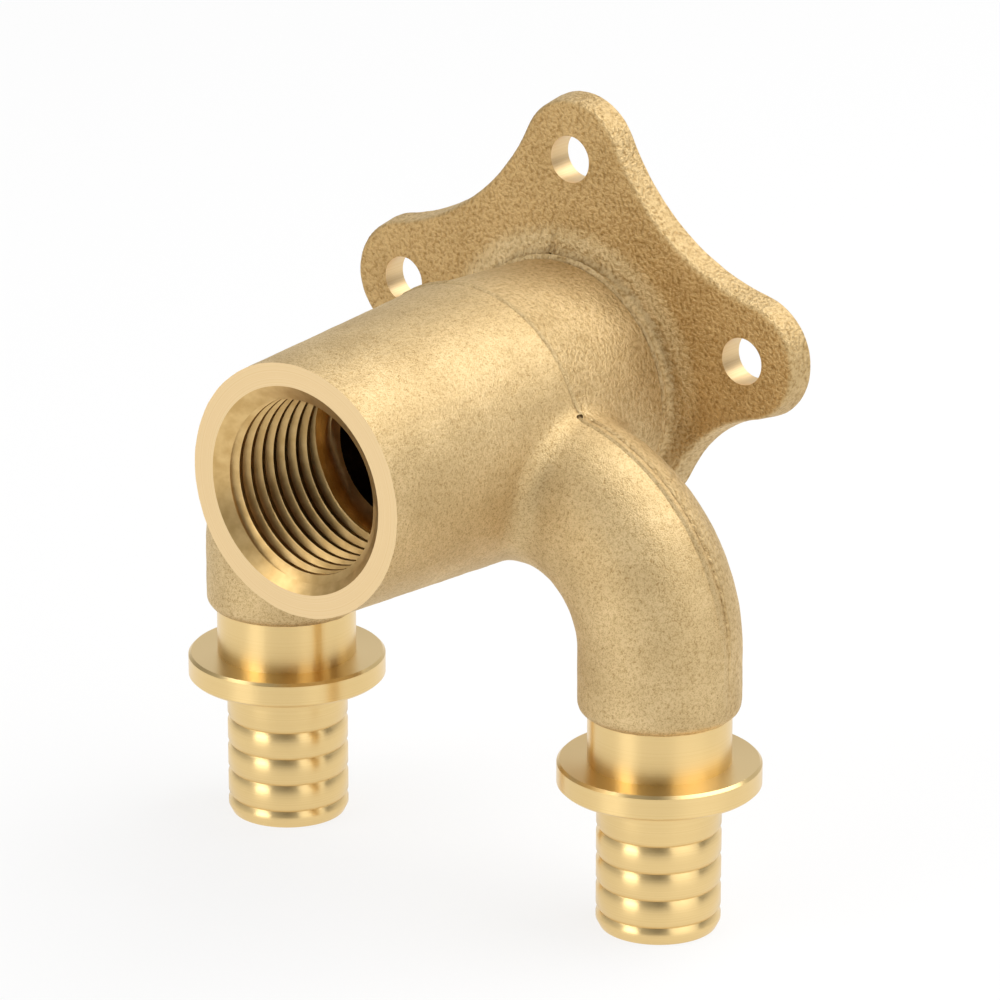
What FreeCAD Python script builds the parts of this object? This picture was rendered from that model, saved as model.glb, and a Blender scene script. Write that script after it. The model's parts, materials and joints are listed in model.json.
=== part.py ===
import FreeCAD, Part
import math
import os

# A flow-through wall plate elbow, cast in brass as one piece and then machined.
# A three-eared plate is screwed to the wall. A tapered body stands out of it and ends in a
# threaded port. Two legs leave the body left and right, bend down and end in ribbed pipe tails.
# Lengths are in millimetres. The origin is on the port's axis, in the plane of the wall.
# +Z is up, and the port faces -Y, away from the wall, so "reach" below is a distance along -Y.

Vector = FreeCAD.Vector
NODE = "wall_plate_elbow"

# Wall plate
PLATE_THICKNESS = 3.0
PLATE_DRAFT_DEGREES = 8.0
PLATE_EDGE_ROUND = 0.5
EAR_RADIUS = 6.9
SCREW_HOLE_DIAMETER = 5.2
TOP_HOLE_HEIGHT = 25.2
SIDE_HOLE_SPACING = 46.6
SIDE_HOLE_HEIGHT = 7.1
UPPER_FLANK_RADIUS = 26.0
LOWER_FLANK_RADIUS = 15.0
LOBE_RIM = 0.1

# Body, drafted both ways from the plane where the two mould halves part
PORT_REACH = 49.0
PORT_DIAMETER = 27.5
PARTING_REACH = 20.4
BODY_DIAMETER = 30.6
BOSS_DIAMETER = 28.4
FLARE_WIDTH = 1.5
FLARE_HEIGHT = 1.2
FLARE_HOLLOW = 0.3
MOULD_STEP = 0.12

# Legs, with their centre-lines in the parting plane
LEG_SPACING = 52.0
LEG_DIAMETER = 17.6
RUN_DROP = 4.6
BEND_RADIUS = 15.2
LEG_STRAIGHT = 6.9
LEG_END_ROUND = 1.3
ROOT_FILLET = 3.0

# Turned pipe tails
NECK_DIAMETER = 15.4
NECK_LENGTH = 5.5
COLLAR_DIAMETER = 21.9
COLLAR_THICKNESS = 2.8
COLLAR_CHAMFER = 0.3
TAIL_DIAMETER = 13.4
TAIL_LENGTH = 16.0
TAIL_FILLET = 2.2
GROOVE_COUNT = 4
GROOVE_START = 4.8
GROOVE_PITCH = 3.1
GROOVE_WIDTH = 1.1
GROOVE_DEPTH = 0.3
TIP_CHAMFER_LENGTH = 0.8
TIP_CHAMFER_DEPTH = 0.4

# Port and waterways: the thread is a plain bore at its tapping size
COUNTERSINK_DIAMETER = 22.5
COUNTERSINK_DEPTH = 1.3
THREAD_BORE_DIAMETER = 19.0
THREAD_LENGTH = 13.5
RELIEF_DIAMETER = 21.4
RELIEF_LENGTH = 2.0
CHAMBER_DIAMETER = 16.0
CHAMBER_POINT = 4.8
BACK_WALL = 7.0
LEG_CORE_DIAMETER = 11.2
TAIL_BORE_DIAMETER = 9.4
CORE_TAPER_LENGTH = 2.0

# Values that follow from the driving dimensions
FLARE_RADIUS = BOSS_DIAMETER / 2 + FLARE_WIDTH
CREASE_REACH = PLATE_THICKNESS + FLARE_HEIGHT
PLATE_INSET = PLATE_THICKNESS * math.tan(math.radians(PLATE_DRAFT_DEGREES))
LOBE_RADIUS = FLARE_RADIUS + LOBE_RIM + PLATE_EDGE_ROUND + PLATE_INSET
LEG_X = LEG_SPACING / 2
BEND_X = LEG_X - BEND_RADIUS
BEND_Z = -RUN_DROP - BEND_RADIUS
CAST_END_Z = BEND_Z - LEG_STRAIGHT
COLLAR_TOP_Z = CAST_END_Z - NECK_LENGTH
COLLAR_BOTTOM_Z = COLLAR_TOP_Z - COLLAR_THICKNESS
TIP_Z = COLLAR_BOTTOM_Z - TAIL_LENGTH
THREAD_END_REACH = PORT_REACH - COUNTERSINK_DEPTH - THREAD_LENGTH
RELIEF_END_REACH = THREAD_END_REACH - RELIEF_LENGTH
MOULD_SIZE = 4 * (PORT_REACH + LEG_SPACING)

SIDES = (-1, 1)
ACROSS = Vector(1, 0, 0)
TO_WALL = Vector(0, 1, 0)
UP = Vector(0, 0, 1)
ORIGIN = Vector(0, 0, 0)
OVERRUN = 1.0  # how far a cutter or an embedded stub runs past the face that it meets
TOLERANCE = 0.001
ROUND_INSET = 1 - math.sqrt(0.5)  # a quarter round's middle, inset from both faces, for radius 1


def line(start, end):
    return Part.makeLine(start, end)


def arc(start, through, end):
    return Part.Arc(start, through, end).toShape()


def face_of(edges):
    return Part.Face(Part.Wire(edges))


def polyline(points):
    return [line(a, b) for a, b in zip(points, points[1:])]


def port_point(radius, reach):
    """A point of a profile that turns about the port's axis."""
    return Vector(0, -reach, radius)


def turned_about_port(edges):
    return face_of(edges).revolve(ORIGIN, TO_WALL, 360)


# Wall plate


def flank_centre(ear, ear_radius, other, other_radius, flank_radius):
    """Centre of the hollow flank that touches two round lobes, on the left of the way between them."""
    reach_ear = flank_radius + ear_radius
    reach_other = flank_radius + other_radius
    between = other - ear
    gap = between.Length
    along = (reach_ear**2 - reach_other**2 + gap**2) / (2 * gap)
    aside = math.sqrt(reach_ear**2 - along**2)
    direction = between / gap
    return ear + direction * along + direction.cross(TO_WALL) * aside


def touch_point(lobe, lobe_radius, flank, flank_radius):
    return lobe + (flank - lobe) * (lobe_radius / (lobe_radius + flank_radius))


def arc_about(centre, radius, start, end, bulge):
    """The arc from start to end about a centre, on the side that bulge points to."""
    return arc(start, centre + Vector(bulge).normalize() * radius, end)


def plate_outline(inset):
    """Three ears and a lower lobe, clockwise from the top, with hollow flanks, set in by a distance."""
    top, left, right = screw_places()
    ear = EAR_RADIUS - inset
    lobes = [(top, ear, top), (right, ear, right), (ORIGIN, LOBE_RADIUS - inset, -UP), (left, ear, left)]
    upper = UPPER_FLANK_RADIUS + inset
    lower = LOWER_FLANK_RADIUS + inset
    flanks = []
    for i, flank_radius in enumerate([upper, lower, lower, upper]):
        lobe, lobe_radius, _ = lobes[i]
        following, following_radius, _ = lobes[(i + 1) % len(lobes)]
        centre = flank_centre(lobe, lobe_radius, following, following_radius, flank_radius)
        start = touch_point(lobe, lobe_radius, centre, flank_radius)
        end = touch_point(following, following_radius, centre, flank_radius)
        flanks.append((start, end, centre, flank_radius))
    edges = []
    for i, (start, end, centre, flank_radius) in enumerate(flanks):
        lobe, lobe_radius, outward = lobes[i]
        edges.append(arc_about(lobe, lobe_radius, flanks[i - 1][1], start, outward))
        edges.append(arc_about(centre, flank_radius, start, end, (start + end) / 2 - centre))
    return Part.Wire(edges)


def wall_plate():
    """The plate, with walls drafted towards its front and a small round on the front edge."""
    front = plate_outline(PLATE_INSET).translated(TO_WALL * -PLATE_THICKNESS)
    plate = Part.makeLoft([plate_outline(0), front], True, True)
    front_edges = [e for e in plate.Edges if abs(e.CenterOfMass.y + PLATE_THICKNESS) < TOLERANCE]
    return plate.makeFillet(PLATE_EDGE_ROUND, front_edges)


def screw_places():
    return [
        Vector(0, 0, TOP_HOLE_HEIGHT),
        Vector(-SIDE_HOLE_SPACING / 2, 0, SIDE_HOLE_HEIGHT),
        Vector(SIDE_HOLE_SPACING / 2, 0, SIDE_HOLE_HEIGHT),
    ]


def screw_holes():
    length = PLATE_THICKNESS + 2 * OVERRUN
    lead_in = TO_WALL * OVERRUN
    return [
        Part.makeCylinder(SCREW_HOLE_DIAMETER / 2, length, place + lead_in, -TO_WALL)
        for place in screw_places()
    ]


# Cast body and legs


def front_body():
    """The port's tube, from the parting plane to the faced end."""
    return turned_about_port(
        polyline(
            [
                port_point(0, PARTING_REACH),
                port_point(BODY_DIAMETER / 2, PARTING_REACH),
                port_point(PORT_DIAMETER / 2, PORT_REACH),
                port_point(0, PORT_REACH),
                port_point(0, PARTING_REACH),
            ]
        )
    )


def back_body():
    """The boss on the plate, with a hollow flare at its foot that meets it in a crease."""
    foot = port_point(FLARE_RADIUS, PLATE_THICKNESS)
    crease = port_point(BOSS_DIAMETER / 2, CREASE_REACH)
    corner = port_point(BOSS_DIAMETER / 2, PLATE_THICKNESS)
    chord_middle = (foot + crease) / 2
    hollow = chord_middle + (corner - chord_middle).normalize() * FLARE_HOLLOW
    edges = polyline([port_point(0, 0), port_point(FLARE_RADIUS, 0), foot])
    edges.append(arc(foot, hollow, crease))
    edges += polyline(
        [
            crease,
            port_point(BODY_DIAMETER / 2 - MOULD_STEP, PARTING_REACH),
            port_point(0, PARTING_REACH),
            port_point(0, 0),
        ]
    )
    return turned_about_port(edges)


def leg_point(side, radius, z):
    """A point of a profile that turns about a leg's lower, upright axis."""
    return Vector(side * (LEG_X + radius), -PARTING_REACH, z)


def turned_about_leg(side, edges):
    return face_of(edges).revolve(leg_point(side, 0, 0), UP, 360)


def run_and_bend(side, radius):
    """A round bar from the body's middle out to one side and round the bend."""
    start = Vector(0, -PARTING_REACH, -RUN_DROP)
    bend_start = Vector(side * BEND_X, -PARTING_REACH, -RUN_DROP)
    bend_centre = Vector(side * BEND_X, -PARTING_REACH, BEND_Z)
    run = Part.makeCylinder(radius, BEND_X, start, ACROSS * side)
    section = Part.Face(Part.Wire(Part.makeCircle(radius, bend_start, ACROSS)))
    bend = section.revolve(bend_centre, TO_WALL, 90 * side)
    return run, bend


def cast_leg(side, radius):
    """One leg, down to its rounded cast end."""
    inset = LEG_END_ROUND * ROUND_INSET
    round_start = leg_point(side, radius, CAST_END_Z + LEG_END_ROUND)
    round_middle = leg_point(side, radius - inset, CAST_END_Z + inset)
    round_end = leg_point(side, radius - LEG_END_ROUND, CAST_END_Z)
    edges = polyline([leg_point(side, 0, BEND_Z), leg_point(side, radius, BEND_Z), round_start])
    edges.append(arc(round_start, round_middle, round_end))
    edges += polyline([round_end, leg_point(side, 0, CAST_END_Z), leg_point(side, 0, BEND_Z)])
    run, bend = run_and_bend(side, radius)
    return run.fuse([bend, turned_about_leg(side, edges)]).removeSplitter()


def is_body_wall(face):
    """A wall that turns about the port's axis."""
    surface = face.Surface
    turned = isinstance(surface, (Part.Cone, Part.Cylinder))
    return turned and surface.Axis.cross(TO_WALL).Length < TOLERANCE


def is_leg_wall(face):
    """A wall of a leg's run or bend. The flare is a ring too, but about the port's axis."""
    surface = face.Surface
    if isinstance(surface, Part.Toroid):
        return abs(surface.Center.x) > TOLERANCE
    return isinstance(surface, Part.Cylinder) and surface.Axis.cross(ACROSS).Length < TOLERANCE


def root_edges(casting):
    """The lines where the legs' walls leave the body's wall."""
    found = []
    for edge in casting.Edges:
        faces = casting.ancestorsOfType(edge, Part.Face)
        if any(is_body_wall(f) for f in faces) and any(is_leg_wall(f) for f in faces):
            found.append(edge)
    return found


def mould_half(body, leg_radius, front):
    """What one half of the mould forms: its side of the body and legs, with soft roots."""
    near_y = -PARTING_REACH - MOULD_SIZE if front else -PARTING_REACH
    corner = Vector(-MOULD_SIZE / 2, near_y, -MOULD_SIZE / 2)
    mould = Part.makeBox(MOULD_SIZE, MOULD_SIZE, MOULD_SIZE, corner)
    legs = [cast_leg(side, leg_radius).common(mould) for side in SIDES]
    casting = body.fuse(legs).removeSplitter()
    return casting.makeFillet(ROOT_FILLET, root_edges(casting))


# Turned pipe tails


def pipe_tail(side):
    """A neck, a stop collar and a grooved tail with a chamfered tip, turned about the leg's axis."""
    neck = NECK_DIAMETER / 2
    collar = COLLAR_DIAMETER / 2
    tail = TAIL_DIAMETER / 2
    stub_z = CAST_END_Z + OVERRUN
    fillet_inset = TAIL_FILLET * ROUND_INSET
    fillet_start = leg_point(side, tail + TAIL_FILLET, COLLAR_BOTTOM_Z)
    fillet_middle = leg_point(side, tail + fillet_inset, COLLAR_BOTTOM_Z - fillet_inset)
    fillet_end = leg_point(side, tail, COLLAR_BOTTOM_Z - TAIL_FILLET)
    edges = polyline(
        [
            leg_point(side, 0, stub_z),
            leg_point(side, neck, stub_z),
            leg_point(side, neck, COLLAR_TOP_Z),
            leg_point(side, collar - COLLAR_CHAMFER, COLLAR_TOP_Z),
            leg_point(side, collar, COLLAR_TOP_Z - COLLAR_CHAMFER),
            leg_point(side, collar, COLLAR_BOTTOM_Z + COLLAR_CHAMFER),
            leg_point(side, collar - COLLAR_CHAMFER, COLLAR_BOTTOM_Z),
            fillet_start,
        ]
    )
    edges.append(arc(fillet_start, fillet_middle, fillet_end))
    grooved = [fillet_end]
    for i in range(GROOVE_COUNT):
        groove_z = COLLAR_BOTTOM_Z - GROOVE_START - i * GROOVE_PITCH
        grooved.append(leg_point(side, tail, groove_z + GROOVE_WIDTH / 2))
        grooved.append(leg_point(side, tail - GROOVE_DEPTH, groove_z))
        grooved.append(leg_point(side, tail, groove_z - GROOVE_WIDTH / 2))
    tip = [
        leg_point(side, tail, TIP_Z + TIP_CHAMFER_LENGTH),
        leg_point(side, tail - TIP_CHAMFER_DEPTH, TIP_Z),
        leg_point(side, 0, TIP_Z),
        leg_point(side, 0, stub_z),
    ]
    edges += polyline(grooved + tip)
    return turned_about_leg(side, edges)


# Waterways


def port_bore():
    """Countersink, thread bore, relief and the drilled chamber behind them, as one cutter."""
    chamber = CHAMBER_DIAMETER / 2
    thread = THREAD_BORE_DIAMETER / 2
    relief = RELIEF_DIAMETER / 2
    return turned_about_port(
        polyline(
            [
                port_point(0, BACK_WALL),
                port_point(chamber, BACK_WALL + CHAMBER_POINT),
                port_point(chamber, RELIEF_END_REACH),
                port_point(relief, RELIEF_END_REACH),
                port_point(relief, THREAD_END_REACH),
                port_point(thread, THREAD_END_REACH),
                port_point(thread, PORT_REACH - COUNTERSINK_DEPTH),
                port_point(COUNTERSINK_DIAMETER / 2, PORT_REACH),
                port_point(COUNTERSINK_DIAMETER / 2, PORT_REACH + OVERRUN),
                port_point(0, PORT_REACH + OVERRUN),
                port_point(0, BACK_WALL),
            ]
        )
    )


def leg_waterway(side):
    """The cast core from the chamber round the bend, tapering into the bore of the tail."""
    core = LEG_CORE_DIAMETER / 2
    bore = TAIL_BORE_DIAMETER / 2
    exit_z = TIP_Z - OVERRUN
    edges = polyline(
        [
            leg_point(side, 0, BEND_Z),
            leg_point(side, core, BEND_Z),
            leg_point(side, core, CAST_END_Z + CORE_TAPER_LENGTH),
            leg_point(side, bore, CAST_END_Z),
            leg_point(side, bore, exit_z),
            leg_point(side, 0, exit_z),
            leg_point(side, 0, BEND_Z),
        ]
    )
    run, bend = run_and_bend(side, core)
    return run.fuse([bend, turned_about_leg(side, edges)]).removeSplitter()


def elbow():
    front = mould_half(front_body(), LEG_DIAMETER / 2, front=True)
    back = mould_half(back_body(), LEG_DIAMETER / 2 - MOULD_STEP, front=False)
    tails = [pipe_tail(side) for side in SIDES]
    solid = wall_plate().fuse([back, front] + tails).removeSplitter()
    waterways = [port_bore()] + [leg_waterway(side) for side in SIDES]
    return solid.cut(waterways + screw_holes()).removeSplitter()


def main():
    os.makedirs("parts", exist_ok=True)
    part = elbow()
    part.exportStep(f"parts/{NODE}.step")
    box = part.BoundBox
    print(f"{NODE}: {len(part.Solids)} solid, valid {part.isValid()}, {part.Volume:.0f} mm3")
    print(f"box {box.XLength:.2f} x {box.YLength:.2f} x {box.ZLength:.2f} mm, lowest {box.ZMin:.2f}")


main()
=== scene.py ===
import json
import math

import bpy
from bpy.props import FloatProperty, FloatVectorProperty, IntProperty, PointerProperty
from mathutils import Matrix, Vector

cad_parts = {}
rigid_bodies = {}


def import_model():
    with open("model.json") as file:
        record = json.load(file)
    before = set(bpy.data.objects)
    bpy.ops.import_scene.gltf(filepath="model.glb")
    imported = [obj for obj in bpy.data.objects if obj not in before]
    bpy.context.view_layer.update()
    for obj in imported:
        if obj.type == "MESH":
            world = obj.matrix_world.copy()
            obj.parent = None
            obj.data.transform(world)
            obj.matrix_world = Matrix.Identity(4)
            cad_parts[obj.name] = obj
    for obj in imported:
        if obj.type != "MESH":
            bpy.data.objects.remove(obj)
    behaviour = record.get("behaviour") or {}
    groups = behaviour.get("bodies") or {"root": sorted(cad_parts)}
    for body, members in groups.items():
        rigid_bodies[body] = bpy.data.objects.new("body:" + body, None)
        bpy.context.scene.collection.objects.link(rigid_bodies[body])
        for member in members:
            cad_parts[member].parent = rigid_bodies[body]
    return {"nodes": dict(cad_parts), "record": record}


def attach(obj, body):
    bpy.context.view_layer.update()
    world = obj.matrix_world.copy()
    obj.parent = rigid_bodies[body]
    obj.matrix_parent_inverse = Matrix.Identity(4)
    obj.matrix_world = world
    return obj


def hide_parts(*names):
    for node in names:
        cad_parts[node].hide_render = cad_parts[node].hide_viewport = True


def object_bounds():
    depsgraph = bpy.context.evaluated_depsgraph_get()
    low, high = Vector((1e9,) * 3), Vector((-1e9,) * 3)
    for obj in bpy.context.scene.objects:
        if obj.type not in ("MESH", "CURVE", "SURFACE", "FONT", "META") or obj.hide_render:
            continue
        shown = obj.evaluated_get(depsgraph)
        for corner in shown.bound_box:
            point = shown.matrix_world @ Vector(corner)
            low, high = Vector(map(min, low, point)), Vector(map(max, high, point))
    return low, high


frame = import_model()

# A wall plate elbow in brass, made as the foundry and the lathe make it. The casting is a blank
# with a sandy skin and a parting line. Its pipe tails, port, waterways and screw holes are machined,
# so each is a turned or drilled tool that is joined to the blank or cut from it.
# Lengths are in metres. The port faces -Y, the wall is the plane y = 0, and +Z is up.

bl_info = {
    "name": "Wall Plate Elbow",
    "version": (1, 0, 0),
    "blender": (4, 5, 0),
    "location": "View3D > Sidebar > Elbow",
    "description": "Casts and machines a brass wall plate elbow and sets a studio stage for it",
    "category": "Object",
}

MM = 0.001
NODE = "wall_plate_elbow"
PIECE = "elbow_casting"
CAD_LOW, CAD_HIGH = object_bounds()
MOUNTS = {mount["name"]: mount for mount in frame["record"]["mounts"]}
SCREW_HOLES = ("screw_hole_top", "screw_hole_left", "screw_hole_right")
TAILS = ("pipe_tail_left", "pipe_tail_right")
INWARD = Vector((0, 1, 0))
ACROSS = Vector((1, 0, 0))
UP = Vector((0, 0, 1))
SIDES = (-1, 1)
WELD = 0.001 * MM
PORT_FACE_Y = CAD_LOW.y
TIP_Z = CAD_LOW.z
CLEAR = 1.0 * MM  # how far a cutting tool runs past the surface that it leaves

# Flats and steps of the smaller round forms
HOLE_SEGMENTS = 64
BEND_STEPS = 14
FILLET_STEPS = 6
SMOOTH_ANGLE = math.radians(32)

# The tap's foot lies this far inside the thread's bore, and its first turn this far behind the port's
# face. The bevel that rounds its sharp tip is this many times the depth that the rounding takes off.
TAP_OVERLAP = 0.2 * MM
TIP_BEVEL = 1.35

PIT_STRETCH = (0.8, 1.2, 1.0)  # a pit's reach across, forward and down, in radii

# Patterns of the finishes in cells a metre, and the depths that their bumps stand for
FINE_GRAIN = 6500
COARSE_GRAIN = 2400
PATCHES = 170
TURNING_LINES = 7000
SMEARS = 700
FINE_RELIEF = 0.15 * MM
COARSE_RELIEF = 0.45 * MM
TURNING_DEPTH = 0.02 * MM
FACING_DEPTH = 0.006 * MM
SMEAR_DEPTH = 0.05 * MM
OUTWARD_PULL = 5  # how far the turning lines' stretch leans out with the distance from a tail's axis

# How coarse the cast skin is, by the way from the port's face (0) to the wall (1)
COARSENESS = ((0.58, 0.0), (0.59, 0.55), (0.75, 0.60), (0.93, 1.0))

# The lamps: place, diameter and watts
LAMPS = {
    "main": ((0.32, 0.32, 0.75), 0.9, 6.2),
    "fill": ((-0.45, -0.75, 0.75), 0.6, 2.2),
    "side": ((0.80, -0.05, 0.22), 0.9, 2.0),
    "front": ((-0.17, -0.87, 0.06), 0.45, 1.8),
}

# The room's brightness round the part, in shares of a turn from the left over the front, the right
# and the back
ROOM_LEVELS = (
    (0.00, 0.40), (0.07, 0.60), (0.14, 0.70), (0.22, 0.68), (0.36, 0.25), (0.44, 0.65), (0.50, 0.78),
    (0.54, 0.30), (0.575, 0.05), (0.61, 0.26), (0.65, 0.68), (0.78, 0.95), (0.87, 1.00), (0.94, 0.75),
    (1.00, 0.40),
)
ROOM_STRENGTH = 0.75
FLOOR_SIZE = 6.0
FLOOR_GAP = 0.02 * MM
FLOOR_GLOW = 0.8  # share of plain white in the floor that a camera or a shiny surface sees
WHITE = (1, 1, 1)


def mount_place(name):
    return Vector(MOUNTS[name]["pos_m"])


def mount_radius(name):
    return MOUNTS[name]["dims"]["r_mm"] * MM


def mount_length(name):
    return MOUNTS[name]["dims"]["length_mm"] * MM


TAIL_AXIS_Y = mount_place("pipe_tail_right").y
TAIL_AXIS_X = mount_place("pipe_tail_right").x


# Sizes and colours that a user would change


def length(name, description, millimetres):
    return FloatProperty(
        name=name, description=description, default=millimetres * MM, unit="LENGTH", precision=5
    )


def colour(name, description, rgb):
    return FloatVectorProperty(
        name=name, description=description, default=rgb, subtype="COLOR", size=3, min=0, max=1
    )


def share(name, description, value):
    return FloatProperty(name=name, description=description, default=value, subtype="FACTOR", min=0, max=1)


class CastingSizes(bpy.types.PropertyGroup):
    """The blank as it leaves the sand"""

    grain: length("Grain", "Edge of one face of the cast skin", 0.44)
    allowance: length("Allowance", "Metal on the port and the plate's back that facing takes off", 0.8)
    cast_end: length("Cast End", "Height at which the legs' cast ends stop", -26.7)
    end_slack: length("End Slack", "How far the neck runs up into the rounding of the leg's cast end", 0.06)
    lump_size: length("Lump Size", "Width of the uneven patches of the cast skin", 1.7)
    lump_height: length("Lump Height", "Height of the uneven patches of the cast skin", 0.10)
    ridge_width: length("Ridge Width", "Width of a ridge that the parting of the mould leaves", 0.5)
    ridge_height: length("Ridge Height", "Height of a ridge that the parting of the mould leaves", 0.25)
    ridge_gap: length("Ridge Gap", "Distance between the two ridges along a leg", 1.3)
    ridge_end: length("Ridge End", "Distance of the ridges' lower end from the leg's cast end", 1.8)
    ridge_fade: length("Ridge Fade", "Distance of the ridges' full height from the leg's cast end", 12.0)
    step_width: length("Step Width", "Width of the step behind the ridge on the body", 0.3)
    step_depth: length("Step Depth", "Depth of the line at the foot of that step", 0.28)
    leg_start: length("Leg Start", "Distance from the middle at which the legs leave the body", 15.6)
    crease: length("Crease", "Reach of the crease between the boss and its flare", 4.22)
    flare_foot: length("Flare Foot", "Radius at which the flare ends on the plate", 15.7)
    flare_spread: length("Flare Spread", "How far the sand lets the flare run out over the plate", 1.8)
    flare_lift: length("Flare Lift", "Height of that run at the flare's foot", 0.45)
    flash_width: length("Flash Width", "Width of one side of the thin flash on the crease", 0.3)
    flash_height: length("Flash Height", "Height of the thin flash on the crease", 0.32)
    flash_end: length("Flash End", "How far the flash runs to the right of the middle before it fades", 3.0)
    flash_fade: length("Flash Fade", "Way over which the flash fades out", 6.0)
    tick_place: length("Tick Place", "Place of the short ridge on top of the flare, across the part", -1.9)
    tick_width: length("Tick Width", "Width of one side of that ridge", 0.22)
    tick_height: length("Tick Height", "Height of that ridge", 0.40)
    pit_radius: length("Pit Radius", "Radius of the pit where a leg's top meets the parting line", 0.36)


class TurningSizes(bpy.types.PropertyGroup):
    """What the lathe turns below each leg"""

    neck_radius: length("Neck Radius", "Radius of the neck above the collar", 7.7)
    collar_top: length("Collar Top", "Height of the collar's upper face", -32.2)
    collar_radius: length("Collar Radius", "Radius of the stop collar", 10.95)
    collar_thickness: length("Collar Thickness", "Thickness of the stop collar", 2.8)
    edge_break: length("Edge Break", "Chamfer on the collar's edges", 0.3)
    fillet: length("Fillet", "Radius of the hollow under the collar", 2.2)
    groove_start: length("Groove Start", "Distance of the first groove under the collar", 4.8)
    groove_pitch: length("Groove Pitch", "Distance from groove to groove", 3.1)
    groove_width: length("Groove Width", "Width of a groove", 1.1)
    groove_depth: length("Groove Depth", "Depth of a groove", 0.3)
    groove_count: IntProperty(name="Groove Count", description="Grooves on each tail", default=4, min=1)
    tip_length: length("Tip Length", "Length of the chamfer at the tip", 0.8)
    tip_depth: length("Tip Depth", "Depth of the chamfer at the tip", 0.4)
    segments: IntProperty(name="Segments", description="Flats round a turned surface", default=112, min=24)


class PortSizes(bpy.types.PropertyGroup):
    """The port's countersink, thread, relief and chamber"""

    countersink_radius: length("Countersink Radius", "Radius of the countersink at the face", 11.25)
    countersink_depth: length("Countersink Depth", "Depth of the countersink", 1.3)
    thread_pitch: length("Thread Pitch", "Distance from turn to turn", 1.814)
    thread_root: length("Thread Root", "Radius at the bottom of the thread", 10.4775)
    pitch_radius: length("Pitch Radius", "Radius at which thread and gap are equally wide", 9.8965)
    flank_angle: FloatProperty(
        name="Flank Angle", description="Half the angle between the thread's flanks",
        default=math.radians(27.5), subtype="ANGLE",
    )
    relief_radius: length("Relief Radius", "Radius of the runout behind the thread", 10.7)
    relief_length: length("Relief Length", "Length of the runout behind the thread", 2.0)
    chamber_radius: length("Chamber Radius", "Radius of the drilled chamber", 8.0)
    chamber_point: length("Chamber Point", "Length of the point that the drill leaves", 4.8)
    back_wall: length("Back Wall", "Metal between the chamber and the wall", 7.0)


class WaterwaySizes(bpy.types.PropertyGroup):
    """The cored and drilled ways from the chamber to the tails' tips"""

    core_radius: length("Core Radius", "Radius of the cast core in a leg", 5.6)
    run_height: length("Run Height", "Height of the core where it leaves the chamber", -4.6)
    bend_radius: length("Bend Radius", "Radius of a leg's centre-line round the bend", 15.2)
    bore_radius: length("Bore Radius", "Radius of the drilled tail", 4.7)
    taper: length("Taper", "Length over which the core narrows to the bore", 2.0)


class Finishes(bpy.types.PropertyGroup):
    """Colours and gloss of the brass"""

    skin_light: colour("Skin, Light", "Cast skin on its high grains", (0.76, 0.59, 0.33))
    skin_dark: colour("Skin, Dark", "Cast skin between its grains", (0.61, 0.445, 0.22))
    skin_brown: colour("Skin, Brown", "Cast skin down in its pits", (0.44, 0.295, 0.125))
    # partly the plate's own deeper tone, partly painted shade on the plate's front
    skin_plate_and_shade: colour("Skin, Plate", "Deeper tint of the cast skin on the plate, partly painted shade", (0.89, 0.81, 0.68))
    skin_uneven: colour("Skin, Uneven", "Tint of the cast skin's darker patches", (0.88, 0.86, 0.82))
    # painted shade: the colour that darkens the creases, as if they lay in shade
    skin_crease_shade: colour("Skin, Crease", "Painted shade on the cast skin in its creases", (0.38, 0.30, 0.20))
    turned: colour("Turned", "Brass fresh from the lathe", (0.84, 0.62, 0.29))
    turned_dark: colour("Turned, Dark", "Brass between the turning lines", (0.81, 0.59, 0.265))
    faced: colour("Faced", "Brass of the faced port and the drilled holes", (0.82, 0.62, 0.35))
    faced_dark: colour("Faced, Dark", "Brass between the lines of the faced port", (0.79, 0.58, 0.31))
    tapped: colour("Tapped", "Brass of the thread", (0.74, 0.51, 0.22))
    tapped_dark: colour("Tapped, Dark", "Smears on the thread", (0.60, 0.39, 0.15))
    # painted shade: the waterways are coloured near black, as the shade in them would look
    cored: colour("Cored", "Painted shade on the skin of the waterways", (0.10, 0.06, 0.03))
    cored_shade_dark: colour("Cored, Dark", "Darker patches of the painted shade in the waterways", (0.04, 0.025, 0.012))
    skin_roughness: share("Skin Roughness", "Roughness of the cast skin", 0.60)
    turned_roughness: share("Turned Roughness", "Roughness of the turned tails", 0.30)
    turned_stretch: share("Turned Stretch", "How far the turning lines stretch a reflection", 0.75)
    faced_roughness: share("Faced Roughness", "Roughness of the faced port and the drilled holes", 0.45)
    bored_roughness: share("Bored Roughness", "Roughness of the thread and the waterways", 0.36)


class StageLook(bpy.types.PropertyGroup):
    """Camera, floor and lights"""

    azimuth: FloatProperty(
        name="Azimuth", description="Turn of the camera from the port's axis",
        default=math.radians(38.7), subtype="ANGLE",
    )
    elevation: FloatProperty(
        name="Elevation", description="Height of the camera above the horizon",
        default=math.radians(19.5), subtype="ANGLE",
    )
    distance: length("Distance", "Distance of the camera from its aim", 680)
    aim: FloatVectorProperty(
        name="Aim", description="Point that the camera looks at",
        default=(-4.5 * MM, -9.4 * MM, -12.9 * MM), subtype="XYZ", unit="LENGTH", size=3,
    )
    lens: FloatProperty(name="Lens", description="Focal length", default=224, min=10, unit="CAMERA")
    floor: colour("Floor", "Colour of the pale floor", (0.9, 0.9, 0.9))


# Handling objects and selections


def object_mode():
    if bpy.context.object and bpy.context.object.mode != "OBJECT":
        bpy.ops.object.mode_set(mode="OBJECT")


def deselect_all():
    object_mode()
    bpy.ops.object.select_all(action="DESELECT")


def activate(thing):
    deselect_all()
    thing.select_set(True)
    bpy.context.view_layer.objects.active = thing


def edit(thing, kind):
    activate(thing)
    bpy.ops.object.mode_set(mode="EDIT")
    bpy.ops.mesh.select_mode(type=kind)


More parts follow.
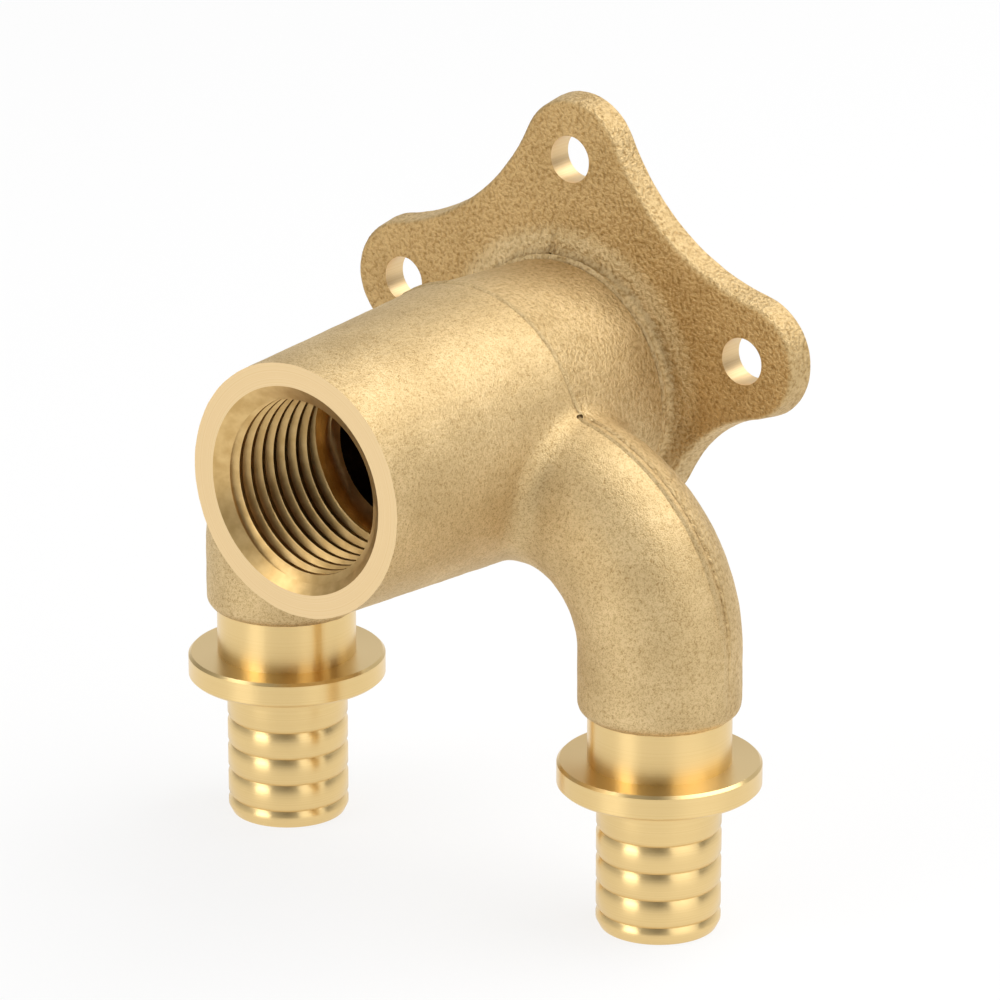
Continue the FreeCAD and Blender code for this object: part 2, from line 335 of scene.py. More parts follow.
def select_faces(thing, chosen):
    """Leaves edit mode on, with the faces selected that the test picks by their centre and corners."""
    edit(thing, "FACE")
    bpy.ops.mesh.select_all(action="DESELECT")
    bpy.ops.object.mode_set(mode="OBJECT")
    mesh = thing.data
    for face in mesh.polygons:
        face.select = chosen(face.center, [mesh.vertices[i].co for i in face.vertices])
    bpy.ops.object.mode_set(mode="EDIT")


def select_vertices(thing, chosen):
    edit(thing, "VERT")
    bpy.ops.mesh.select_all(action="DESELECT")
    bpy.ops.object.mode_set(mode="OBJECT")
    for vertex in thing.data.vertices:
        vertex.select = chosen(vertex.co)
    bpy.ops.object.mode_set(mode="EDIT")


def cut_round(thing, place, normal):
    """Cuts an edge round a form where a plane crosses it."""
    edit(thing, "VERT")
    bpy.ops.mesh.select_all(action="SELECT")
    bpy.ops.mesh.bisect(plane_co=place, plane_no=normal, threshold=WELD)
    object_mode()


def lift(thing, height_at):
    """Moves each point off the surface by the height that is given for its place."""
    object_mode()
    points = thing.data.vertices
    for point, normal in [(point, point.normal.copy()) for point in points]:
        point.co += normal * height_at(point.co)
    thing.data.update()


def peak(way, half_width):
    """A ridge's share of its height: 1 on its middle, 0 from its sides on."""
    return max(0, 1 - abs(way) / half_width)


def ease(way, low, high):
    """A share that runs from 0 at low to 1 at high."""
    return min(1, max(0, (way - low) / (high - low)))


def off_axis(place, axis_place, axis):
    """Distance of a place from an axis."""
    return (place - axis_place).cross(axis).length


def apply_modifier(thing, kind, **settings):
    modifier = thing.modifiers.new(kind.lower(), kind)
    for name, value in settings.items():
        setattr(modifier, name, value)
    activate(thing)
    bpy.ops.object.modifier_apply(modifier=modifier.name)


def machine(casting, tool, operation):
    """Joins a tool's form to the casting or cuts it away, and the new faces keep the tool's finish."""
    apply_modifier(
        casting, "BOOLEAN", object=tool, operation=operation, solver="MANIFOLD", material_mode="TRANSFER"
    )
    bpy.data.objects.remove(tool)


def turned(name, foot, axis, profile, segments):
    """A closed turned form: a disc extruded ring by ring through pairs of radius and way along the axis."""
    deselect_all()
    radius, along = profile[0]
    bpy.ops.mesh.primitive_circle_add(
        vertices=segments, radius=radius, fill_type="NGON",
        location=foot + axis * along, rotation=axis.to_track_quat("Z", "Y").to_euler(),
    )
    form = bpy.context.object
    form.name = name
    bpy.ops.object.transform_apply(location=True, rotation=True, scale=True)
    bpy.ops.object.mode_set(mode="EDIT")
    bpy.ops.mesh.select_all(action="SELECT")
    for next_radius, next_along in profile[1:]:
        bpy.ops.mesh.extrude_region_move(TRANSFORM_OT_translate={"value": axis * (next_along - along)})
        scale = next_radius / radius
        bpy.ops.transform.resize(value=(scale, scale, scale), center_override=foot + axis * next_along)
        radius, along = next_radius, next_along
    bpy.ops.mesh.select_all(action="SELECT")
    bpy.ops.mesh.normals_make_consistent(inside=False)
    bpy.ops.object.mode_set(mode="OBJECT")
    return form


def quarter_hollow(start, end, steps):
    """Points on a hollow quarter round that starts out radially and ends along the axis."""
    points = []
    for step in range(steps + 1):
        angle = math.pi / 2 * step / steps
        radius = end[0] + (start[0] - end[0]) * (1 - math.sin(angle))
        along = start[1] + (end[1] - start[1]) * (1 - math.cos(angle))
        points.append((radius, along))
    return points


# Finishes


def new_finish(name):
    """A brass material and its nodes, with the place on the object as a vector."""
    material = bpy.data.materials.new(name)
    material.use_nodes = True
    nodes = material.node_tree.nodes
    shader = nodes["Principled BSDF"]
    shader.inputs["Metallic"].default_value = 1.0
    place = nodes.new("ShaderNodeTexCoord")
    return material, shader, place.outputs["Object"]


def add_node(material, kind, inputs=(), **settings):
    """A node with its settings, its sockets set to numbers or linked to other nodes' outputs."""
    node = material.node_tree.nodes.new(kind)
    for name, value in settings.items():
        setattr(node, name, value)
    for socket, value in dict(inputs).items():
        if isinstance(value, bpy.types.NodeSocket):
            material.node_tree.links.new(value, node.inputs[socket])
        else:
            node.inputs[socket].default_value = value
    return node


def link(material, source, target):
    material.node_tree.links.new(source, target)


def ramp(material, factor, stops):
    """A colour ramp over pairs of place and colour."""
    node = add_node(material, "ShaderNodeValToRGB", {"Fac": factor})
    band = node.color_ramp
    while len(band.elements) < len(stops):
        band.elements.new(1)
    for element, (place, rgb) in zip(band.elements, stops):
        element.position = place
        element.color = (*rgb, 1)
    return node.outputs["Color"]


def levels(material, factor, stops):
    """A grey ramp over pairs of place and level."""
    return ramp(material, factor, [(place, (level,) * 3) for place, level in stops])


def span(material, value, low, high, first=0.0, last=1.0):
    """Maps a value's way from low to high onto the way from first to last."""
    return add_node(
        material, "ShaderNodeMapRange",
        {"Value": value, "From Min": low, "From Max": high, "To Min": first, "To Max": last},
    ).outputs["Result"]


def maths(material, operation, *values):
    return add_node(material, "ShaderNodeMath", dict(enumerate(values)), operation=operation).outputs[0]


def product(material, first, second, share_of_second=1.0):
    """Multiplies a colour by a second one, as far as the second's share goes."""
    return add_node(
        material, "ShaderNodeMix", {0: share_of_second, 6: first, 7: second},
        data_type="RGBA", blend_type="MULTIPLY",
    ).outputs[2]


def noise(material, place, scale, detail, roughness):
    return add_node(
        material, "ShaderNodeTexNoise",
        {"Vector": place, "Scale": scale, "Detail": detail, "Roughness": roughness},
    ).outputs["Fac"]


def bump(material, shader, height, strength, depth):
    """Shades a surface as if the height stood out by the depth."""
    relief = add_node(
        material, "ShaderNodeBump", {"Height": height, "Strength": strength, "Distance": depth}
    )
    link(material, relief.outputs["Normal"], shader.inputs["Normal"])


def lathe_way(material, place, radial):
    """How far along the cut the tool has come: the height on a tail, the radius on a face."""
    parts = add_node(material, "ShaderNodeSeparateXYZ", {"Vector": place}).outputs
    if not radial:
        return parts["Z"]
    flat = add_node(material, "ShaderNodeCombineXYZ", {"X": parts["X"], "Y": parts["Z"]}).outputs[0]
    return add_node(material, "ShaderNodeVectorMath", {0: flat}, operation="LENGTH").outputs["Value"]


def plate_tone_and_shade(material, place, coarseness):
    """The share of the plate's deeper tint: partly the coarser plate's own tone, partly painted shade, full
    on its front and little on its side walls and the flare, which stay pale as if lit.
    """
    normal = add_node(material, "ShaderNodeTexCoord").outputs["Normal"]
    forward = add_node(material, "ShaderNodeSeparateXYZ", {"Vector": normal}).outputs["Y"]
    # painted shade: faces turned forward get the full tint, side walls turned aside stay pale as if lit
    facing = span(material, forward, -0.5, -0.95, 0.35, 1.0)
    sizes = bpy.context.scene.elbow_casting
    foot = sizes.flare_foot + sizes.flare_spread / 3
    # painted light: the flare and its run are left pale as if the light fell on them
    off_flare = span(material, lathe_way(material, place, radial=True), foot, foot + sizes.flare_spread)
    return maths(material, "MULTIPLY", maths(material, "MULTIPLY", coarseness, facing), off_flare)


def cast_skin(look):
    """Sandy cast brass: fine grain on the body, coarser behind the parting line, and painted shade that
    darkens the creases brown.
    """
    material, shader, place = new_finish("cast_skin")
    reach = add_node(material, "ShaderNodeSeparateXYZ", {"Vector": place}).outputs["Y"]
    coarseness = levels(material, span(material, reach, PORT_FACE_Y, 0), COARSENESS)
    grain = noise(material, place, FINE_GRAIN, 1, 0.5)
    lumps = noise(material, place, COARSE_GRAIN, 2, 0.5)
    patches = noise(material, place, PATCHES, 3, 0.55)
    share_of_lumps = span(material, coarseness, 0, 1, 0.4, 0.8)
    sand = add_node(material, "ShaderNodeMix", {0: share_of_lumps, 2: grain, 3: lumps}).outputs[0]
    curve = add_node(material, "ShaderNodeNewGeometry").outputs["Pointiness"]

    skin = ramp(material, sand, [(0.28, look.skin_brown), (0.41, look.skin_dark), (0.56, look.skin_light)])
    # the plate's own deeper tone, with painted shade on its front
    deeper = product(material, skin, (*look.skin_plate_and_shade, 1), plate_tone_and_shade(material, place, coarseness))
    uneven = ramp(material, patches, [(0.35, look.skin_uneven), (0.65, WHITE)])
    # painted shade: concave places, found by pointiness, are darkened brown as if shaded
    creases = ramp(material, curve, [(0.44, look.skin_crease_shade), (0.49, WHITE)])
    tone = product(material, product(material, deeper, uneven), creases)
    link(material, tone, shader.inputs["Base Color"])
    bump(material, shader, sand, 0.7, span(material, coarseness, 0, 1, FINE_RELIEF, COARSE_RELIEF))
    shader.inputs["Roughness"].default_value = look.skin_roughness
    return material


def lathe_brass(name, radial, light, dark, line_depth):
    """Brass from the lathe, with fine lines along a tail's length or over a face's radius."""
    material, shader, place = new_finish(name)
    way = lathe_way(material, place, radial)
    fine = add_node(
        material, "ShaderNodeTexNoise", {"W": way, "Scale": TURNING_LINES, "Detail": 2},
        noise_dimensions="1D",
    ).outputs["Fac"]
    link(material, ramp(material, fine, [(0.35, dark), (0.60, light)]), shader.inputs["Base Color"])
    bump(material, shader, fine, 0.2, line_depth)
    return material, shader, place


def turned_brass(look):
    """The turned tails: lines run round them, so a reflection stretches along a tail or over a collar."""
    material, shader, place = lathe_brass(
        "turned_brass", False, look.turned, look.turned_dark, TURNING_DEPTH
    )
    parts = add_node(material, "ShaderNodeSeparateXYZ", {"Vector": place}).outputs
    axis_x = maths(material, "MULTIPLY", maths(material, "SIGN", parts["X"]), TAIL_AXIS_X)
    axis = add_node(
        material, "ShaderNodeCombineXYZ", {"X": axis_x, "Y": TAIL_AXIS_Y, "Z": parts["Z"]}
    ).outputs[0]
    outward = add_node(
        material, "ShaderNodeVectorMath", {0: place, 1: axis}, operation="SUBTRACT"
    ).outputs[0]
    stretch = add_node(
        material, "ShaderNodeVectorMath", {0: outward, 1: (OUTWARD_PULL,) * 3, 2: UP},
        operation="MULTIPLY_ADD",
    ).outputs[0]
    link(material, stretch, shader.inputs["Tangent"])
    shader.inputs["Anisotropic"].default_value = look.turned_stretch
    shader.inputs["Roughness"].default_value = look.turned_roughness
    return material


def faced_brass(look, name, radial):
    """The faced port and the drilled holes, with lines so fine that they hardly show."""
    material, shader, _ = lathe_brass(name, radial, look.faced, look.faced_dark, FACING_DEPTH)
    shader.inputs["Roughness"].default_value = look.faced_roughness
    return material


def bored_brass(look, name, light, dark):
    """Tapped brass, duller and browner than the outside; with the cored colours it paints the waterways and
    the pits near black as shade.
    """
    material, shader, place = new_finish(name)
    smear = noise(material, place, SMEARS, 4, 0.5)
    link(material, ramp(material, smear, [(0.35, dark), (0.65, light)]), shader.inputs["Base Color"])
    bump(material, shader, smear, 0.2, SMEAR_DEPTH)
    shader.inputs["Roughness"].default_value = look.bored_roughness
    return material


# Operators


class ELBOW_OT_cast_blank(bpy.types.Operator):
    """Cast the blank: the part's own form, with its machined places still full of metal"""

    bl_idname = "elbow.cast_blank"
    bl_label = "Cast Blank"

    def execute(self, context):
        sizes = context.scene.elbow_casting
        deselect_all()
        blank = bpy.data.objects.new(PIECE, frame["nodes"][NODE].data.copy())
        context.collection.objects.link(blank)
        activate(blank)
        bpy.ops.mesh.customdata_custom_splitnormals_clear()
        self.fill_machined_places(blank, sizes)
        self.leave_allowance(blank, sizes)
        blank.data.remesh_voxel_size = sizes.grain
        activate(blank)
        bpy.ops.object.voxel_remesh()
        apply_modifier(blank, "SMOOTH", factor=0.5, iterations=2)
        self.roughen(blank, sizes)
        self.raise_parting_line(blank, sizes)
        self.spread_flare(blank, sizes)
        self.raise_flash(blank, sizes)
        self.raise_tick(blank, sizes)
        looks = context.scene.elbow_finishes
        blank.data.materials.clear()
        blank.data.materials.append(cast_skin(looks))
        # painted shade: the pits are coloured brown to near black, as if in shade
        self.sink_pits(blank, sizes, bored_brass(looks, "pit_shade_brass", looks.skin_brown, looks.cored))
        return {"FINISHED"}

    def fill_machined_places(self, blank, sizes):
        """Takes away the tails, the bores and the hole walls, and closes what they leave open."""
        edit(blank, "FACE")
        bpy.ops.mesh.select_all(action="SELECT")
        bpy.ops.mesh.remove_doubles(threshold=WELD)
        holes = [(mount_place(name), mount_radius(name)) for name in SCREW_HOLES]
        port_radius = bpy.context.scene.elbow_port.countersink_radius

        def is_machined(centre, corners):
            if all(corner.z < sizes.cast_end + sizes.end_slack for corner in corners):
                return True
            in_port = all(off_axis(corner, Vector(), INWARD) < port_radius + WELD for corner in corners)
            if in_port and centre.y < -CLEAR:
                return True
            return any(off_axis(centre, place, INWARD) < radius for place, radius in holes)

        select_faces(blank, is_machined)
        bpy.ops.mesh.delete(type="FACE")
        select_vertices(blank, lambda place: place.z > CAD_HIGH.z - WELD)
        bpy.ops.mesh.select_linked()
        bpy.ops.mesh.select_all(action="INVERT")
        bpy.ops.mesh.delete(type="VERT")
        bpy.ops.mesh.select_all(action="SELECT")
        bpy.ops.mesh.fill_holes(sides=0)

    def leave_allowance(self, blank, sizes):
        """Lengthens the port and thickens the plate's back by the metal that facing takes off."""
        for plane_y, way in ((PORT_FACE_Y, -1), (0, 1)):
            select_faces(blank, lambda _, corners: all(abs(c.y - plane_y) < WELD for c in corners))
            move = INWARD * sizes.allowance * way
            bpy.ops.mesh.extrude_region_move(TRANSFORM_OT_translate={"value": move})
        object_mode()

    def roughen(self, blank, sizes):
        """Raises the uneven patches that the sand leaves."""
        sand = bpy.data.textures.new("sand", "CLOUDS")
        sand.noise_scale = sizes.lump_size
        sand.noise_depth = 3
        apply_modifier(
            blank, "DISPLACE", texture=sand, texture_coords="LOCAL",
            strength=sizes.lump_height, mid_level=0.5,
        )

    def raise_parting_line(self, blank, sizes):
        """Marks where the mould parts: a stepped ridge round the body and two ridges along each leg."""
        half = sizes.ridge_width / 2
        gap = sizes.ridge_gap / 2
        step = sizes.step_width
        for offset in (-gap - half, -gap, -half, 0, step, 2 * step, gap, gap + half):
            cut_round(blank, (0, TAIL_AXIS_Y + offset, 0), INWARD)

        def height_at(place):
            way = place.y - TAIL_AXIS_Y
            if abs(place.x) < sizes.leg_start:
                return sizes.ridge_height * peak(way, half) - sizes.step_depth * peak(way - step, step)
            above_end = ease(place.z - sizes.cast_end, sizes.ridge_end, sizes.ridge_fade)
            return above_end * sizes.ridge_height * (peak(way - gap, half) + peak(way + gap, half))

        lift(blank, height_at)

    def spread_flare(self, blank, sizes):
        """Runs the flare's upper half out over the plate."""
        plate_front = -mount_length("screw_hole_top")

        def height_at(place):
            if place.y > plate_front + sizes.allowance or place.y < -sizes.crease:
                return 0
            spread = peak(off_axis(place, Vector(), INWARD) - sizes.flare_foot, sizes.flare_spread)
            return sizes.flare_lift * spread * ease(place.z, -sizes.flare_spread, 2 * sizes.flare_spread)

        lift(blank, height_at)

    def raise_flash(self, blank, sizes):
        """A thin flash on the crease's upper half that fades to the right, with a fine line in front."""
        width = sizes.flash_width
        for share_of_width in (-2.5, -1.5, -1, -0.5, 0, 0.5, 1):
            cut_round(blank, (0, share_of_width * width - sizes.crease, 0), INWARD)

        def height_at(place):
            if off_axis(place, Vector(), INWARD) > sizes.flare_foot:
                return 0
            way = place.y + sizes.crease
            fade = ease(place.x, sizes.flash_end + sizes.flash_fade, sizes.flash_end)
            lip = fade * ease(place.z, 0, sizes.flash_fade)
            line = sizes.step_depth * peak(way + 1.5 * width, width)
            return sizes.flash_height * lip * peak(way, width) - line

        lift(blank, height_at)

    def raise_tick(self, blank, sizes):
        """A short ridge on top of the flare."""
        for offset in (-sizes.tick_width, 0, sizes.tick_width):
            cut_round(blank, (sizes.tick_place + offset, 0, 0), ACROSS)
        foot = sizes.flare_foot + sizes.flare_spread / 2

        def height_at(place):
            off_flare = place.y < sizes.tick_width - sizes.crease or place.y > -CLEAR or place.z < 0
            if off_flare or off_axis(place, Vector(), INWARD) > foot:
                return 0
            return sizes.tick_height * peak(place.x - sizes.tick_place, sizes.tick_width)

        lift(blank, height_at)

    def sink_pits(self, blank, sizes, finish):
        """A small pit on each side, where a leg's top meets the parting line, painted dark inside as shade.
        """
        y = TAIL_AXIS_Y - sizes.ridge_width
        for side in SIDES:
            x = side * sizes.leg_start
            upper = [
                point.co.copy() for point in blank.data.vertices
                if point.normal.z > 0 and point.co.z > -CLEAR
            ]
            nearest = min(upper, key=lambda place: math.hypot(place.x - x, place.y - y))
            deselect_all()
            bpy.ops.mesh.primitive_ico_sphere_add(
                subdivisions=3, radius=sizes.pit_radius, location=nearest, scale=PIT_STRETCH
            )
            pit = bpy.context.object
            bpy.ops.object.transform_apply(location=True, rotation=True, scale=True)
            pit.data.materials.append(finish)
            machine(blank, pit, "DIFFERENCE")


class ELBOW_OT_turn_tails(bpy.types.Operator):
    """Turn the neck, the collar and the grooved tail below each leg"""

    bl_idname = "elbow.turn_tails"
    bl_label = "Turn Tails"

    def execute(self, context):
        sizes = context.scene.elbow_turning
        finish = turned_brass(context.scene.elbow_finishes)
        casting = bpy.data.objects[PIECE]
        for name in TAILS:
            foot = mount_place(name)
            foot.z = 0
            tail = turned(name, foot, UP, self.profile(sizes, mount_radius(name), context), sizes.segments)
            tail.data.materials.append(finish)
            machine(casting, tail, "UNION")
        return {"FINISHED"}

    def profile(self, sizes, tail_radius, context):
        """Radius and height from inside the leg down to the tip."""
        collar_bottom = sizes.collar_top - sizes.collar_thickness
        hollow_top = (tail_radius + sizes.fillet, collar_bottom)
        hollow_foot = (tail_radius, collar_bottom - sizes.fillet)
        profile = [
            (sizes.neck_radius, context.scene.elbow_casting.cast_end + CLEAR),
            (sizes.neck_radius, sizes.collar_top),
            (sizes.collar_radius - sizes.edge_break, sizes.collar_top),
            (sizes.collar_radius, sizes.collar_top - sizes.edge_break),
            (sizes.collar_radius, collar_bottom + sizes.edge_break),
            (sizes.collar_radius - sizes.edge_break, collar_bottom),
        ]
        profile += quarter_hollow(hollow_top, hollow_foot, FILLET_STEPS)
        for index in range(sizes.groove_count):
            middle = collar_bottom - sizes.groove_start - index * sizes.groove_pitch
            profile.append((tail_radius, middle + sizes.groove_width / 2))
            profile.append((tail_radius - sizes.groove_depth, middle))
            profile.append((tail_radius, middle - sizes.groove_width / 2))
        profile.append((tail_radius, TIP_Z + sizes.tip_length))
        profile.append((tail_radius - sizes.tip_depth, TIP_Z))
        return profile


class ELBOW_OT_bore_port(bpy.types.Operator):
    """Face the port and cut its countersink, chamber, relief and thread"""

    bl_idname = "elbow.bore_port"
    bl_label = "Bore Port"

    def execute(self, context):
        sizes = context.scene.elbow_port
        looks = context.scene.elbow_finishes
        casting = bpy.data.objects[PIECE]
        segments = context.scene.elbow_turning.segments
        faced = faced_brass(looks, "faced_brass", radial=True)
        tapped = bored_brass(looks, "tapped_brass", looks.tapped, looks.tapped_dark)
        # painted shade: the chamber and the waterways get the near-black cored finish
        cored = bored_brass(looks, "cored_shade_brass", looks.cored, looks.cored_shade_dark)
        for name, profile, finish in (
            ("facing_cut", self.facing_profile(), faced),
            ("boring_cut", self.boring_profile(sizes), tapped),
            ("chamber_drill", self.chamber_profile(sizes), cored),
        ):
            tool = turned(name, Vector(), INWARD, profile, segments)
            tool.data.materials.append(finish)
            machine(casting, tool, "DIFFERENCE")
        tap = self.tap(sizes, segments)
        tap.data.materials.append(tapped)
        machine(casting, tap, "DIFFERENCE")
        return {"FINISHED"}

    def facing_profile(self):
        wide = CAD_HIGH.x
        return [(wide, PORT_FACE_Y - 3 * CLEAR), (wide, PORT_FACE_Y)]

    def thread_end(self, sizes):
        return PORT_FACE_Y + sizes.countersink_depth + mount_length("threaded_port")

    def boring_profile(self, sizes):
        """The countersink, the thread's bore and the relief behind it."""
        thread_radius = mount_radius("threaded_port")
        thread_end = self.thread_end(sizes)
        return [
            (sizes.countersink_radius, PORT_FACE_Y - CLEAR),
            (sizes.countersink_radius, PORT_FACE_Y),
            (thread_radius, PORT_FACE_Y + sizes.countersink_depth),
            (thread_radius, thread_end),
            (sizes.relief_radius, thread_end),
            (sizes.relief_radius, thread_end + sizes.relief_length),
        ]

    def chamber_profile(self, sizes):
        return [
            (sizes.chamber_radius, self.thread_end(sizes)),
            (sizes.chamber_radius, -sizes.back_wall - sizes.chamber_point),
            (WELD, -sizes.back_wall),
        ]

    def tap(self, sizes, segments):
        """The helical gap of the thread: a triangle with a rounded tip, screwed along the port's axis."""
        inner = mount_radius("threaded_port") - TAP_OVERLAP
        slope = math.tan(sizes.flank_angle)
        half_width = sizes.thread_pitch / 4 + (sizes.pitch_radius - inner) * slope
        sharp = sizes.pitch_radius + sizes.thread_pitch / 4 / slope
        start = PORT_FACE_Y + TAP_OVERLAP
        corners = [
            Vector((0, start - half_width, inner)),
            Vector((0, start, sharp)),
            Vector((0, start + half_width, inner)),
        ]
        deselect_all()
        bpy.ops.mesh.primitive_circle_add(vertices=len(corners), radius=half_width, fill_type="NOTHING")
        tap = bpy.context.object
        tap.name = "tap"
        for vertex, corner in zip(tap.data.vertices, corners):
            vertex.co = corner
        select_vertices(tap, lambda place: place.z > sizes.thread_root)
        bpy.ops.mesh.bevel(
            affect="VERTICES", offset_type="OFFSET",
            offset=(sharp - sizes.thread_root) * TIP_BEVEL, segments=3,
        )
        object_mode()
        way = mount_length("threaded_port") + sizes.countersink_depth + sizes.relief_length / 2
        turns = math.ceil(way / sizes.thread_pitch)
        apply_modifier(
            tap, "SCREW", axis="Y", angle=math.tau, screw_offset=sizes.thread_pitch, iterations=turns,
            steps=segments, render_steps=segments,
        )
        edit(tap, "VERT")
        bpy.ops.mesh.select_all(action="SELECT")
        bpy.ops.mesh.fill_holes(sides=0)
        bpy.ops.mesh.select_all(action="SELECT")
        bpy.ops.mesh.normals_make_consistent(inside=False)
        object_mode()
        return tap


class ELBOW_OT_drill(bpy.types.Operator):
    """Open the waterways to the tails, drill the screw holes and face the plate's back"""

    bl_idname = "elbow.drill"
    bl_label = "Drill"

    def execute(self, context):
        casting = bpy.data.objects[PIECE]
        for side in SIDES:
            core = self.waterway(context, side)
            # painted shade: the near-black cored finish
            core.data.materials.append(bpy.data.materials["cored_shade_brass"])
            machine(casting, core, "DIFFERENCE")
        drilled = faced_brass(context.scene.elbow_finishes, "drilled_brass", radial=False)
        for name in SCREW_HOLES:
            place = mount_place(name)
            place.y = 0
            radius = mount_radius(name)
            reach = mount_length(name) + CLEAR
            drill = turned(name, place, INWARD, [(radius, -reach), (radius, 2 * CLEAR)], HOLE_SEGMENTS)
            drill.data.materials.append(drilled)
            machine(casting, drill, "DIFFERENCE")
        wide = 2 * CAD_HIGH.x
        back = turned("back_cut", Vector(), INWARD, [(wide, 0), (wide, 3 * CLEAR)], HOLE_SEGMENTS)
        back.data.materials.append(bpy.data.materials["faced_brass"])
        machine(casting, back, "DIFFERENCE")
        return {"FINISHED"}

    def waterway(self, context, side):
        """A round core from past the chamber's middle to the side, round the bend and down the tail."""
        sizes = context.scene.elbow_waterway
        cast_end = context.scene.elbow_casting.cast_end
        start = Vector((-side * CLEAR, TAIL_AXIS_Y, sizes.run_height))
        bend_x = side * (TAIL_AXIS_X - sizes.bend_radius)
        bend_z = sizes.run_height - sizes.bend_radius
        deselect_all()
        bpy.ops.mesh.primitive_circle_add(
            vertices=HOLE_SEGMENTS, radius=sizes.core_radius, fill_type="NGON", location=start,
            rotation=(0, math.pi / 2, 0),
        )
        core = bpy.context.object
        core.name = "waterway_core"
        bpy.ops.object.transform_apply(location=True, rotation=True, scale=True)
        bpy.ops.object.mode_set(mode="EDIT")
        bpy.ops.mesh.select_all(action="SELECT")
        bpy.ops.mesh.extrude_region_move(TRANSFORM_OT_translate={"value": (bend_x - start.x, 0, 0)})
        bpy.ops.mesh.spin(
            steps=BEND_STEPS, angle=-side * math.pi / 2, center=(bend_x, TAIL_AXIS_Y, bend_z), axis=INWARD
        )
        radius, height = sizes.core_radius, bend_z
        way_down = [
            (sizes.core_radius, cast_end + sizes.taper),
            (sizes.bore_radius, cast_end),
            (sizes.bore_radius, TIP_Z - CLEAR),
        ]
        for next_radius, next_height in way_down:
            bpy.ops.mesh.extrude_region_move(TRANSFORM_OT_translate={"value": UP * (next_height - height)})
            scale = next_radius / radius
            middle = Vector((side * TAIL_AXIS_X, TAIL_AXIS_Y, next_height))
            bpy.ops.transform.resize(value=(scale, scale, scale), center_override=middle)
            radius, height = next_radius, next_height
        bpy.ops.mesh.select_all(action="SELECT")
        bpy.ops.mesh.remove_doubles(threshold=WELD)
        bpy.ops.mesh.normals_make_consistent(inside=False)
        object_mode()
        return core


class ELBOW_OT_finish_casting(bpy.types.Operator):
    """Smooth the shading, and tie the piece to the part that it stands for"""

    bl_idname = "elbow.finish_casting"
    bl_label = "Finish Casting"

    def execute(self, context):
        casting = bpy.data.objects[PIECE]
        self.clean(casting)
        activate(casting)
        bpy.ops.object.shade_smooth_by_angle(angle=SMOOTH_ANGLE)
        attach(casting, "root")
        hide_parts(NODE)
        return {"FINISHED"}

    def clean(self, casting):
        """Welds the slivers that cutting leaves and drops chips that came loose."""
        edit(casting, "VERT")
        bpy.ops.mesh.select_all(action="SELECT")
        bpy.ops.mesh.remove_doubles(threshold=10 * WELD)
        bpy.ops.mesh.dissolve_degenerate(threshold=10 * WELD)
        bpy.ops.mesh.delete_loose()
        select_vertices(casting, lambda place: place.z < TIP_Z + WELD)
        bpy.ops.mesh.select_linked()
        bpy.ops.mesh.select_all(action="INVERT")
        bpy.ops.mesh.delete(type="VERT")
        object_mode()


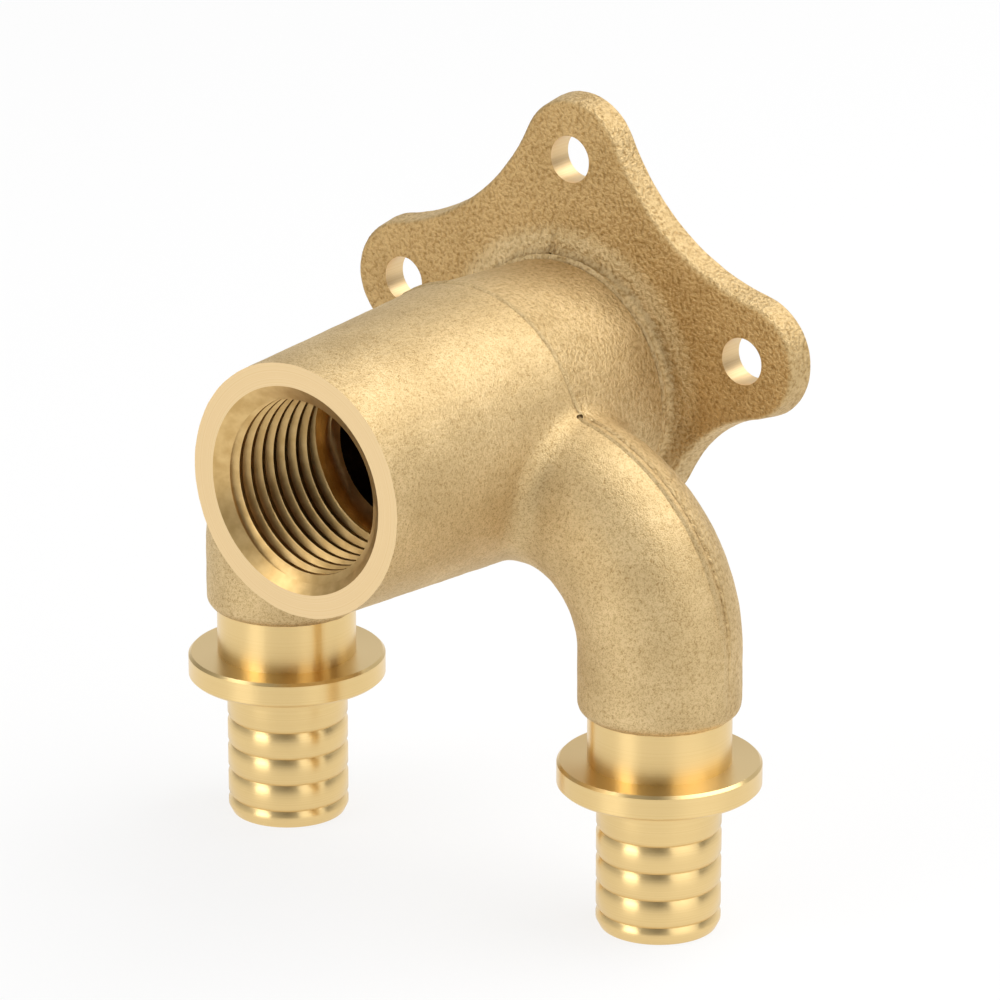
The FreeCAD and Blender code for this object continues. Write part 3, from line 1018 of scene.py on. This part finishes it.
class ELBOW_OT_stage(bpy.types.Operator):
    """Set the pale floor, the soft lights and the camera"""

    bl_idname = "elbow.stage"
    bl_label = "Stage"

    def execute(self, context):
        look = context.scene.elbow_stage
        self.floor(look)
        self.lights(context)
        self.world(context)
        self.camera(context, look)
        context.scene.view_settings.view_transform = "Standard"
        return {"FINISHED"}

    def floor(self, look):
        deselect_all()
        bpy.ops.mesh.primitive_plane_add(size=FLOOR_SIZE, location=(0, 0, TIP_Z - FLOOR_GAP))
        floor = bpy.context.object
        floor.name = "floor"
        material = bpy.data.materials.new("pale_floor")
        material.use_nodes = True
        tree = material.node_tree
        shader = tree.nodes["Principled BSDF"]
        shader.inputs["Base Color"].default_value = (*look.floor, 1)
        shader.inputs["Roughness"].default_value = 0.9
        glow = add_node(material, "ShaderNodeEmission", {"Color": (*WHITE, 1), "Strength": 1.0})
        mix = add_node(material, "ShaderNodeMixShader", {0: self.seen(material)})
        link(material, shader.outputs[0], mix.inputs[1])
        link(material, glow.outputs[0], mix.inputs[2])
        link(material, mix.outputs[0], tree.nodes["Material Output"].inputs["Surface"])
        floor.data.materials.append(material)

    def seen(self, material):
        """The share of plain white for rays from the camera and from metal: a faint shadow stays."""
        path = add_node(material, "ShaderNodeLightPath").outputs
        straight = maths(material, "MAXIMUM", path["Is Camera Ray"], path["Is Glossy Ray"])
        either = maths(material, "MAXIMUM", straight, path["Is Transmission Ray"])
        return maths(material, "MULTIPLY", either, FLOOR_GLOW)

    def lights(self, context):
        for name, (place, size, power) in LAMPS.items():
            lamp = bpy.data.lights.new(name, "AREA")
            lamp.shape = "DISK"
            lamp.size = size
            lamp.energy = power
            thing = bpy.data.objects.new(name, lamp)
            thing.location = place
            thing.rotation_euler = (-Vector(place)).to_track_quat("-Z", "Y").to_euler()
            context.collection.objects.link(thing)

    def world(self, context):
        """A pale room: dim behind the camera, dark in a strip at the right, brightest at the back."""
        world = bpy.data.worlds.new("studio")
        world.use_nodes = True
        context.scene.world = world
        room = world.node_tree.nodes["Background"]
        direction = add_node(world, "ShaderNodeTexCoord").outputs["Generated"]
        turn = add_node(
            world, "ShaderNodeTexGradient", {"Vector": direction}, gradient_type="RADIAL"
        ).outputs["Fac"]
        link(world, levels(world, turn, ROOM_LEVELS), room.inputs["Color"])
        room.inputs["Strength"].default_value = ROOM_STRENGTH

    def camera(self, context, look):
        level = math.cos(look.elevation)
        back = Vector(
            (math.sin(look.azimuth) * level, -math.cos(look.azimuth) * level, math.sin(look.elevation))
        )
        data = bpy.data.cameras.new("camera")
        data.lens = look.lens
        data.clip_start = 0.01
        camera = bpy.data.objects.new("camera", data)
        camera.location = Vector(look.aim) + back * look.distance
        camera.rotation_euler = (-back).to_track_quat("-Z", "Y").to_euler()
        context.collection.objects.link(camera)
        context.scene.camera = camera


class ELBOW_PT_panel(bpy.types.Panel):
    """The steps of the elbow in the order in which they are run"""

    bl_label = "Wall Plate Elbow"
    bl_idname = "ELBOW_PT_panel"
    bl_space_type = "VIEW_3D"
    bl_region_type = "UI"
    bl_category = "Elbow"

    def draw(self, context):
        for operator in STEPS:
            self.layout.operator(operator.bl_idname)
        for name in SETTINGS:
            box = self.layout.box()
            settings = getattr(context.scene, name)
            for prop in settings.__annotations__:
                box.prop(settings, prop)


SETTINGS = {
    "elbow_casting": CastingSizes,
    "elbow_turning": TurningSizes,
    "elbow_port": PortSizes,
    "elbow_waterway": WaterwaySizes,
    "elbow_finishes": Finishes,
    "elbow_stage": StageLook,
}
STEPS = (
    ELBOW_OT_cast_blank,
    ELBOW_OT_turn_tails,
    ELBOW_OT_bore_port,
    ELBOW_OT_drill,
    ELBOW_OT_finish_casting,
    ELBOW_OT_stage,
)


def register():
    for kind in (*SETTINGS.values(), *STEPS, ELBOW_PT_panel):
        bpy.utils.register_class(kind)
    for name, kind in SETTINGS.items():
        setattr(bpy.types.Scene, name, PointerProperty(type=kind))


def unregister():
    for name in SETTINGS:
        delattr(bpy.types.Scene, name)
    for kind in (ELBOW_PT_panel, *STEPS, *SETTINGS.values()):
        bpy.utils.unregister_class(kind)


def main():
    register()
    bpy.ops.elbow.cast_blank()
    bpy.ops.elbow.turn_tails()
    bpy.ops.elbow.bore_port()
    bpy.ops.elbow.drill()
    bpy.ops.elbow.finish_casting()
    bpy.ops.elbow.stage()


if __name__ == "__main__":
    main()
